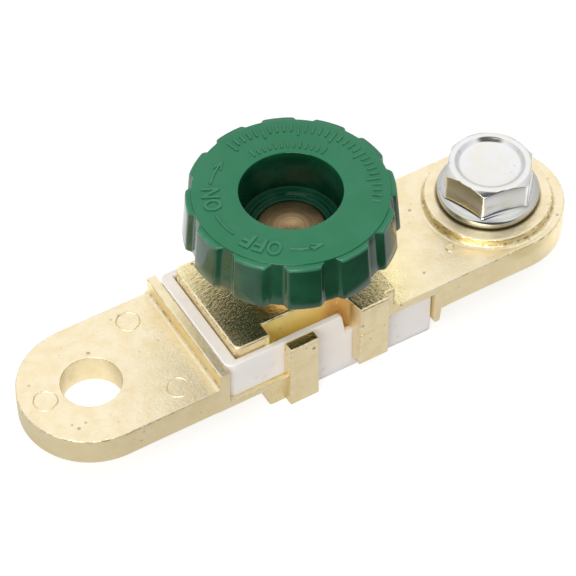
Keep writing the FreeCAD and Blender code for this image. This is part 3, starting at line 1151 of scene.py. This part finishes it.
@dataclass
class Castings:
    """The two plated castings, with the marks that the mould left on them."""

    edge: float = 0.15
    lug_top: float = 5.5
    terminal_top: float = 6.4
    ring_places: tuple[Polar, ...] = ((11.07, 8.15), (-8.1, 0.26), (11.43, -8.21))
    ring_radius: float = 1.95
    ring_profile: Profile = (
        (-0.17, -0.06), (-0.10, 0.05), (0.0, 0.11), (0.10, 0.05), (0.17, -0.06),
    )
    ring_waves: Profile = ((0.05, 3.0), (0.03, 7.0))
    nub_place: Polar = (64.4, -5.9)
    nub_radius: float = 0.75
    hook_span: Span = (42.25, 47.93)
    hook_face: float = 13.45
    parting_z: float = 4.6
    parting_size: Span = (0.3, 0.17)
    parting_edge: float = 0.06
    parting_sunk: float = 0.07

    def mark_ring(self, place: Point, radius: float, turn: float) -> Mesh:
        """Return one slightly uneven raised ring left by an ejector pin.

        Args:
            place: The ring's middle.
            radius: The ring's radius.
            turn: Turns the unevenness, in radians.

        Returns:
            The ring's mesh.
        """
        (broad, broad_waves), (fine, fine_waves) = self.ring_waves

        def uneven(reach: float) -> Callable[[float], float]:
            """Return a radius that wanders a little."""
            return lambda angle: (reach + broad * math.sin(broad_waves * angle + turn)
                                  + fine * math.sin(fine_waves * angle))

        rings = [(uneven(reach), z) for reach, z in placed(self.ring_profile, radius, 0.0)]
        bm = ring_surface(rings, 40, 0.0, True)
        bmesh.ops.translate(bm, vec=place, verts=bm.verts)
        return bm

    def marks(self, shop: Workshop) -> Object:
        """Build the ejector rings and the nub on the lugs, and the hooks' parting lines.

        Args:
            shop: The workshop.

        Returns:
            The piece.
        """
        bm = bmesh.new()
        for index, spot in enumerate(self.ring_places):
            merge_into(bm, self.mark_ring((*spot, self.lug_top), self.ring_radius, index * 2.0))
        merge_into(bm, self.mark_ring((*self.nub_place, self.terminal_top), self.nub_radius, 1.0))
        low, high = self.hook_span
        for side in (-1.0, 1.0):
            face = side * (self.hook_face - self.parting_sunk)
            place = Matrix.Translation(((low + high) / 2.0, face, self.parting_z))
            add_box(bm, place, (high - low, *self.parting_size), self.parting_edge)
        return shop.piece("casting_marks", bm, Slot.CASTING, Body.PLATES, smooth=60.0)

    def build(self, shop: Workshop) -> None:
        """Build both castings and their marks.

        Args:
            shop: The workshop.
        """
        for node in ("lower_plate", "upper_plate"):
            shop.softened(node + "_casting", node, Slot.CASTING, self.edge)
        self.marks(shop)


@dataclass
class Separator:
    """The white moulding between the castings."""

    edge: float = 0.22

    def build(self, shop: Workshop) -> None:
        """Build the softened moulding."""
        shop.softened("insulator_moulding", "insulator", Slot.NYLON, self.edge)


@dataclass
class ContactScrew:
    """The turned brass screw, with its threaded shank."""

    thread_radius: float = 4.95
    pitch: float = 1.5
    low: float = -4.2
    point: float = 0.8
    seat: float = 10.96
    shoulder: float = 7.3
    shoulder_top: float = 13.46
    head: float = 5.75
    head_top: float = 21.3
    shoulder_foot: Profile = ((-3.7, 0.0), (-0.3, 0.0), (-0.08, 0.09), (0.0, 0.3))
    shoulder_rim: Profile = ((0.0, -0.08), (-0.08, 0.0))
    head_foot: Profile = ((0.05, 0.0), (0.0, 0.05))
    head_rim: Profile = ((0.0, -0.3), (-0.06, -0.12), (-0.18, -0.03), (-0.34, 0.0))
    centre_mark: Profile = ((1.1, 0.0), (0.9, -0.06), (0.2, -0.08))

    def build(self, shop: Workshop) -> None:
        """Build the head, shoulder and thread as one piece.

        Args:
            shop: The workshop.
        """
        rings = (
            placed(self.shoulder_foot, self.shoulder, self.seat)
            + placed(self.shoulder_rim, self.shoulder, self.shoulder_top)
            + placed(self.head_foot, self.head, self.shoulder_top)
            + placed(self.head_rim, self.head, self.head_top)
            + placed(self.centre_mark, 0.0, self.head_top)
        )
        bm = ring_surface(rings, 128, SCREW_X, False)
        high = self.seat + SUNK
        thread = Thread(SCREW_X, self.thread_radius, self.pitch, self.low, high, self.point)
        merge_into(bm, thread.build())
        shop.piece("brass_screw", bm, Slot.BRASS, Body.SCREW, "contact_screw")


@dataclass(frozen=True)
class Row:
    """A row of plain graduations on the knob's top, with longer ones among them."""

    first: float
    step: float
    count: int
    every: int
    long: Span
    short: Span
    width: float


@dataclass
class Knob:
    """The fluted knob: lobes, recess, hub, ribbed hollow and the raised marks on its top."""

    lobes: int = 12
    phase: float = 6.5
    lobe_half: float = 8.1
    floor_half: float = 3.3
    bottom: float = 20.9
    top: float = 29.75
    lobe_radius: Span = (17.5, 16.7)
    flute_radius: Span = (16.6, 15.85)
    foot: tuple[Point, ...] = ((17.1, 16.3, 0.0), (17.36, 16.5, 0.1))
    wall_rows: tuple[float, ...] = (0.32, 2.4, 4.6, 6.6, 8.0)
    lobe_edge: Profile = ((16.72, 0.58), (16.6, 0.4), (16.44, 0.32), (16.01, 0.3), (15.87, 0.26))
    flute_edge: Profile = ((15.89, 0.7), (15.88, 0.52), (15.87, 0.42), (15.86, 0.34), (15.85, 0.27))
    disc_edge: Profile = ((-0.03, -0.1), (-0.1, -0.03), (-0.22, 0.0))
    disc_rows: tuple[float, ...] = (14.2, 12.0, 10.0)
    recess: Profile = (
        (8.56, 29.75), (8.42, 29.71), (8.34, 29.63), (8.3, 29.47), (8.28, 25.5), (8.25, 22.32),
        (8.16, 22.04), (7.9, 21.9), (7.25, 21.9), (7.05, 21.84), (6.95, 21.7), (6.75, 21.4),
        (6.45, 21.3), (5.95, 21.3), (5.82, 21.2),
    )
    hub: Profile = (
        (5.8, 20.9), (5.8, 13.6), (5.9, 13.51), (8.05, 13.51), (8.3, 13.6), (8.4, 13.86),
        (8.4, 18.9), (10.3, 20.9),
    )
    hollow: Profile = (
        (10.3, 26.85), (10.6, 27.15), (13.7, 27.15), (14.0, 26.85), (14.0, 21.1), (14.12, 20.9),
    )
    ribs: int = 6
    rib_place: Point = (12.15, 0.0, 24.4)
    rib_size: Point = (3.9, 1.5, 5.6)
    rim_drop: float = 0.75
    rim_slope: Span = (0.15, 0.9)
    mark_height: float = 0.22
    letter_row: float = 12.7
    letter_height: float = 2.95
    letter_sunk: float = 0.1
    letters: tuple[tuple[str, float, float], ...] = (
        ("O", 164.4, 2.35), ("N", 152.6, 2.1),
        ("O", -132.4, 2.3), ("F", -142.9, 1.75), ("F", -152.4, 1.75),
    )
    arc_width: float = 0.44
    shaft_widths: Span = (0.56, 0.5)
    barb_widths: Span = (0.5, 0.44)
    barb_turn: float = 8.5
    tip_inset: float = 0.3
    barb_ends: Profile = ((0.35, 0.03), (-0.85, 0.06))
    arcs: tuple[tuple[Polar, Polar], ...] = (
        ((13.0, 175.2), (13.0, 195.9)), ((12.6, -121.9), (12.9, -107.0)),
    )
    rows: tuple[Row, ...] = (
        Row(104.0, 5.0, 30, 5, (12.1, 14.4), (12.9, 14.4), 0.44),
        Row(97.0, 5.8, 13, 4, (9.3, 10.8), (9.3, 10.3), 0.4),
    )

    def window(self, angle: float) -> float:
        """Tell a lobe from a flute.

        Args:
            angle: The place round the knob, in radians.

        Returns:
            1 on a lobe, 0 on a flute's floor, and a smooth step between.
        """
        half = 180.0 / self.lobes
        away = abs((math.degrees(angle) - self.phase + half) % (2.0 * half) - half)
        share = (half - self.floor_half - away) / (half - self.floor_half - self.lobe_half)
        share = min(1.0, max(0.0, share))
        return share * share * (3.0 - 2.0 * share)

    def between(self, on_lobe: float, on_flute: float) -> Callable[[float], float]:
        """Return a size that changes from lobe to flute."""
        return lambda angle: on_flute + (on_lobe - on_flute) * self.window(angle)

    def wall(self, rise: float) -> Ring:
        """Return a ring of the drafted outer wall.

        Args:
            rise: The ring's height above the knob's lower edge.

        Returns:
            The ring.
        """
        share = rise / (self.top - self.bottom)
        radii = (low + (high - low) * share for low, high in (self.lobe_radius, self.flute_radius))
        return self.between(*radii), self.bottom + rise

    def outside(self) -> list[Ring]:
        """Return the rings from the lower edge over the lobes to the top disc.

        Returns:
            The rings.
        """
        rings = [(self.between(lobe, flute), self.bottom + rise) for lobe, flute, rise in self.foot]
        rings += [self.wall(rise) for rise in self.wall_rows]
        for (lobe, drop), (flute, flute_drop) in zip(self.lobe_edge, self.flute_edge):
            heights = self.between(self.top - drop, self.top - flute_drop)
            rings.append((self.between(lobe, flute), heights))
        rings += placed(self.disc_edge, self.flute_radius[1], self.top)
        return rings + [(radius, self.top) for radius in self.disc_rows]

    def add_ribs(self, bm: Mesh) -> None:
        """Add the ribs of the hollow.

        Args:
            bm: The knob's mesh.
        """
        axis = Matrix.Translation((SCREW_X, 0.0, 0.0))
        for index in range(self.ribs):
            turn = Matrix.Rotation(math.radians(self.phase + index * 360.0 / self.ribs), 4, "Z")
            add_box(bm, axis @ turn @ Matrix.Translation(self.rib_place), self.rib_size)

    def body(self, shop: Workshop) -> None:
        """Build the knob itself.

        Args:
            shop: The workshop.
        """
        low, high = self.rim_slope
        foot = self.top - self.rim_drop

        def on_rim(face: bmesh.types.BMFace) -> float:
            """Tell the slanted upper edge of the lobes from the rest.

            Args:
                face: A face of the knob.

            Returns:
                1 on the edge and 0 elsewhere.
            """
            middle = face.calc_center_median()
            outer = math.hypot(middle.x - SCREW_X, middle.y) > self.flute_radius[1]
            return float(outer and middle.z > foot and low < face.normal.z < high)

        rings = [*self.outside(), *self.recess, *self.hub, *self.hollow]
        bm = ring_surface(rings, 360, SCREW_X, True)
        # The rim mask gives the lobes' slanted upper edge rim wear and a painted highlight.
        mark_rims(bm, on_rim)
        self.add_ribs(bm)
        shop.piece("green_knob", bm, Slot.PLASTIC, Body.GRIP, "knob", smooth=38.0)

    def mark(self, bm: Mesh, start: Polar, finish: Polar, widths: Span, drop: float = 0.0) -> None:
        """Add one raised stroke on the knob's top, a little lower where it meets another."""
        base = self.top - SUNK - drop
        Stroke(start, finish, widths, base, self.mark_height + SUNK).add_to(bm, SCREW_X)

    def arrow(self, bm: Mesh, tail: Polar, tip: float, turn: Turn) -> None:
        """Add a thin arrow with two barbs.

        Args:
            bm: The mesh to add to.
            tail: Radius and angle of the arrow's tail.
            tip: The tip's angle in degrees.
            turn: Which way the arrow points.
        """
        point = (tail[0] - self.tip_inset, tip)
        self.mark(bm, tail, point, self.shaft_widths)
        for out, drop in self.barb_ends:
            end = (tail[0] + out, tip - turn.value * self.barb_turn)
            self.mark(bm, point, end, self.barb_widths, drop)

    def marks(self, shop: Workshop) -> None:
        """Build the raised ON and OFF, their arrows and the plain graduations.

        Args:
            shop: The workshop.
        """
        bm = bmesh.new()
        lift = Matrix.Translation((SCREW_X, 0.0, self.top + self.mark_height / 2.0 - SUNK))
        for character, degrees, width in self.letters:
            thickness = self.mark_height + self.letter_sunk
            part = letter_mesh(character, self.letter_height, width, thickness)
            turn = Matrix.Rotation(math.radians(degrees - 90.0), 4, "Z")
            place = lift @ turn @ Matrix.Translation((0.0, self.letter_row, 0.0))
            bmesh.ops.transform(part, matrix=place, verts=part.verts)
            merge_into(bm, part)
        self.arrow(bm, (12.8, 143.5), 119.7, Turn.CLOCKWISE)
        self.arrow(bm, (12.9, -108.0), -97.5, Turn.COUNTER_CLOCKWISE)
        for start, finish in self.arcs:
            self.mark(bm, start, finish, (self.arc_width, self.arc_width))
        for row in self.rows:
            for index in range(row.count):
                degrees = row.first - index * row.step
                low, high = row.short if index % row.every else row.long
                self.mark(bm, (low, degrees), (high, degrees), (row.width, row.width))
        # The rim mask gives the marks' sides a full painted highlight and their tops half of it,
        # besides rim wear.
        mark_rims(bm, lambda face: 1.0 if face.normal.z < 0.9 else 0.5)
        shop.piece("knob_marks", bm, Slot.PLASTIC, Body.GRIP, smooth=30.0)

    def build(self, shop: Workshop) -> None:
        """Build the knob and its marks."""
        self.body(shop)
        self.marks(shop)


@dataclass
class TerminalBolt:
    """The bright flange bolt with a dished hexagon head and a threaded shank."""

    seat: float = 8.1
    flange: float = 8.66
    flange_rise: float = 1.8
    flange_slope: float = 0.33
    flange_foot: Profile = ((-5.46, 0.0), (-0.8, 0.0), (-0.36, 0.08), (-0.1, 0.28), (0.0, 0.6))
    flange_edge: Profile = ((0.0, -0.34), (-0.07, -0.14), (-0.26, 0.0))
    across_flats: float = 13.8
    corner_phase: float = 49.5
    corner_reach: float = 1.143
    side_foot: Profile = ((0.42, 0.0), (0.22, 0.07), (0.08, 0.22), (0.0, 0.5))
    side_middle: float = 12.6
    side_top: Profile = ((0.0, -0.2), (-0.03, -0.03), (-0.12, 0.0))
    top: float = 15.7
    rim: float = 6.8
    rim_profile: Profile = (
        (0.12, -0.09), (0.0, -0.03), (-0.14, 0.0), (-0.78, 0.0), (-0.92, -0.05), (-1.04, -0.17),
    )
    chamfer_slope: float = 0.64
    dish_depth: float = 0.7
    dish: Profile = ((5.3, 0.16), (5.12, 0.04), (4.85, 0.0), (2.5, 0.0), (0.4, 0.0))
    thread_radius: float = 4.0
    pitch: float = 1.25
    shank_end: float = -2.9
    point: float = 0.7

    def hexagon(self, angle: float, grow: float = 0.0) -> float:
        """Return the hexagon's radius, with its corners eased.

        Args:
            angle: The place round the bolt, in radians.
            grow: How far to stand outside the hexagon.

        Returns:
            The radius.
        """
        turn = (math.degrees(angle) - self.corner_phase) % 60.0 - 30.0
        half = self.across_flats / 2.0
        return min(half / math.cos(math.radians(turn)), half * self.corner_reach) + grow

    def flange_height(self, radius: float) -> float:
        """Return the height of the flange's sloped top at a radius."""
        edge = self.flange + self.flange_edge[-1][0]
        return self.seat + self.flange_rise + (edge - radius) * self.flange_slope

    def chamfer_height(self, radius: float) -> float:
        """Return the height of the head's turned chamfer at a radius."""
        return self.top - (radius - self.rim) * self.chamfer_slope

    def side(self, height: Callable[[float], float], grow: float, lift: float) -> Ring:
        """Return a ring of the hexagon that follows a turned surface.

        Args:
            height: Gives the turned surface's height at a radius.
            grow: How far the ring stands outside the hexagon.
            lift: How far it lies above the turned surface.

        Returns:
            The ring.
        """
        return (
            lambda angle: self.hexagon(angle, grow),
            lambda angle: height(self.hexagon(angle, grow)) + lift,
        )

    def head(self) -> Mesh:
        """Build the flange and head.

        Returns:
            Their mesh, in millimetres.
        """
        rings = placed(self.flange_foot, self.flange, self.seat)
        rings += placed(self.flange_edge, self.flange, self.seat + self.flange_rise)
        rings += [self.side(self.flange_height, *step) for step in self.side_foot]
        rings.append((self.hexagon, self.side_middle))
        rings += [self.side(self.chamfer_height, *step) for step in self.side_top]
        rings += placed(self.rim_profile, self.rim, self.top)
        rings += placed(self.dish, 0.0, self.top - self.dish_depth)
        return ring_surface(rings, 180, TERMINAL_X, False)

    def build(self, shop: Workshop) -> None:
        """Build the bolt as one piece.

        Args:
            shop: The workshop.
        """
        bm = self.head()
        low, high = self.shank_end, self.seat + SUNK
        thread = Thread(TERMINAL_X, self.thread_radius, self.pitch, low, high, self.point)
        merge_into(bm, thread.build())
        shop.piece("flange_bolt", bm, Slot.ZINC, Body.PLATES, "terminal_bolt")


# The room


@dataclass
class Studio:
    """A pale floor, soft light and the camera."""

    azimuth: float = -30.40
    elevation: float = 48.687
    roll: float = -0.442
    distance: float = 422.738
    lens: float = 160.343
    sensor: float = 36.0
    target: Point = (37.128, 0.955, 5.5)
    floor_centre: Point = (37.0, 0.0, -4.7)
    floor_radius: float = 1600.0
    floor_far: Colour = (0.10, 0.10, 0.10)
    floor_near: Colour = (0.43, 0.43, 0.43)
    near_y: Span = (-37.0, -26.0)
    near_x: Span = (-25.0, -10.0)
    near_glow: Span = (1.0, 0.665)
    hole_reach: Span = (6.0, 10.0)
    hole_seen: Point = (3.5, 6.0, 0.0)
    hole_seen_glow: float = 0.3
    hole_mirrored_glow: float = 0.58
    behind_y: Span = (12.0, 20.0)
    behind_glow: float = 0.60
    beside_x: Span = (82.0, 92.0)
    beside_glow: float = 0.40
    slope_x: Span = (0.0, 50.0)
    slope_glow: Span = (0.20, 0.31)
    rise: Span = (0.0, 0.9)
    rise_glow: Span = (0.85, 1.14)
    front: Span = (0.82, 0.94)
    front_glow: Span = (1.0, 0.10)
    flank: Span = (0.35, 0.85)
    flank_glow: Span = (1.0, 0.78)
    lamp_place: Polar = (-44.0, 31.0)
    lamp_size: float = 500.0
    lamp_distance: float = 700.0
    lamp_power: float = 3.1

    def glow(self, graph: Graph, spot: Socket, near: Socket) -> Socket:
        """Return the floor's own light, which differs for the camera and for reflections.

        Args:
            graph: The floor's graph.
            spot: The place on the floor, in millimetres.
            near: The mask of the floor that isn't far in front or to the left.

        Returns:
            The strength.
        """
        x, y, _ = graph.split(spot)
        rays = graph.add("ShaderNodeLightPath")
        through = graph.fade(graph.gap(spot, self.hole_seen), self.hole_reach, self.hole_seen_glow)
        shown = graph.plus(graph.remap(near, (0.0, 1.0), self.near_glow), through)
        shown = graph.times(graph.seen(rays), shown)
        aside = graph.most(graph.remap(y, self.behind_y, (0.0, self.behind_glow)),
                           graph.remap(x, self.beside_x, (0.0, self.beside_glow)))
        under = graph.fade(graph.gap(spot, ORIGIN), self.hole_reach, self.hole_mirrored_glow)
        sloped = graph.times(near, graph.remap(x, self.slope_x, self.slope_glow))
        mirrored = graph.plus(sloped, graph.most(under, aside))
        return graph.most(shown, graph.times(rays.outputs["Is Glossy Ray"], mirrored))

    def floor(self) -> None:
        """Build the pale floor, which shows white around the object's soft shadow."""
        bm = bmesh.new()
        radius = self.floor_radius * MILLIMETRE
        bmesh.ops.create_circle(bm, cap_ends=True, radius=radius, segments=96)
        bmesh.ops.translate(bm, vec=Vector(self.floor_centre) * MILLIMETRE, verts=bm.verts)
        mesh = bpy.data.meshes.new("floor")
        bm.to_mesh(mesh)
        bm.free()
        thing = new_object("floor", mesh)
        material = bpy.data.materials.new("pale_floor")
        material.use_nodes = True
        graph = Graph(material.node_tree)
        spot = graph.millimetres(graph.add("ShaderNodeTexCoord").outputs["Object"])
        x, y, _ = graph.split(spot)
        near = graph.most(graph.remap(y, self.near_y), graph.fade(x, self.near_x))
        colour = graph.blend(near, self.floor_far, self.floor_near)
        matt = graph.add("ShaderNodeBsdfDiffuse", {"Color": colour}).outputs[0]
        strength = self.glow(graph, spot, near)
        light = graph.add("ShaderNodeEmission", {"Strength": strength}).outputs[0]
        both = graph.add("ShaderNodeAddShader", {0: matt, 1: light}).outputs[0]
        graph.add("ShaderNodeOutputMaterial", {"Surface": both})
        mesh.materials.append(material)

    def sky(self) -> None:
        """Build a world that is bright above and behind and dimmer on the camera's side."""
        world = bpy.data.worlds.new("soft_room")
        bpy.context.scene.world = world
        world.use_nodes = True
        graph = Graph(world.node_tree)
        place = graph.add("ShaderNodeTexCoord").outputs["Generated"]
        eye = toward(self.azimuth, self.elevation)
        facing = graph.vector_value("DOT_PRODUCT", place, eye)
        sideways = graph.vector_value("DOT_PRODUCT", place, polar(1.0, self.azimuth))
        upward = graph.remap(graph.split(place)[2], self.rise, self.rise_glow)
        flank = graph.remap(graph.calc("ABSOLUTE", sideways), self.flank, self.flank_glow)
        front = graph.remap(facing, self.front, self.front_glow)
        level = graph.times(graph.times(upward, flank), front)
        strength = graph.most(level, graph.seen(graph.add("ShaderNodeLightPath")))
        back = graph.add("ShaderNodeBackground", {"Color": WHITE, "Strength": strength})
        graph.add("ShaderNodeOutputWorld", {"Surface": back.outputs[0]})

    def lamp(self) -> None:
        """Hang a square soft lamp at the front that faces the object."""
        light = bpy.data.lights.new("front_fill", "AREA")
        light.size = self.lamp_size * MILLIMETRE
        light.energy = self.lamp_power
        thing = new_object("front_fill", light)
        away = toward(*self.lamp_place)
        thing.location = (Vector(self.target) + away * self.lamp_distance) * MILLIMETRE
        thing.rotation_mode = "QUATERNION"
        thing.rotation_quaternion = away.to_track_quat("Z", "Y")

    def camera(self) -> None:
        """Set the camera at the photograph's place."""
        back = toward(self.azimuth, self.elevation)
        right = polar(1.0, self.azimuth)
        up = back.cross(right)
        tilt = math.radians(self.roll)
        right_rolled = right * math.cos(tilt) + up * math.sin(tilt)
        up_rolled = up * math.cos(tilt) - right * math.sin(tilt)
        data = bpy.data.cameras.new("camera")
        data.sensor_width = self.sensor
        data.lens = self.lens
        data.clip_start = 0.02
        data.clip_end = 20.0
        thing = new_object("camera", data)
        place = (Vector(self.target) + back * self.distance) * MILLIMETRE
        columns = Matrix((right_rolled, up_rolled, back)).transposed().to_4x4()
        thing.matrix_world = Matrix.Translation(place) @ columns
        bpy.context.scene.camera = thing

    def build(self) -> None:
        """Build the whole room."""
        bpy.context.scene.view_settings.view_transform = "Standard"
        self.camera()
        self.floor()
        self.sky()
        self.lamp()


def main() -> None:
    """Build the switch and the room around it."""
    logging.basicConfig(level=logging.INFO, format="%(name)s: %(message)s")
    effects = SharedEffects()
    materials = {
        Slot.CASTING: PlatedCasting().build(effects),
        Slot.NYLON: Nylon().build(effects),
        Slot.BRASS: TurnedBrass().build(effects),
        Slot.PLASTIC: GreenPlastic().build(effects),
        Slot.ZINC: BrightZinc().build(effects),
    }
    shop = Workshop(materials)
    Studio().build()
    for part in (Castings(), Separator(), ContactScrew(), Knob(), TerminalBolt()):
        part.build(shop)


if __name__ == "__main__":
    main()
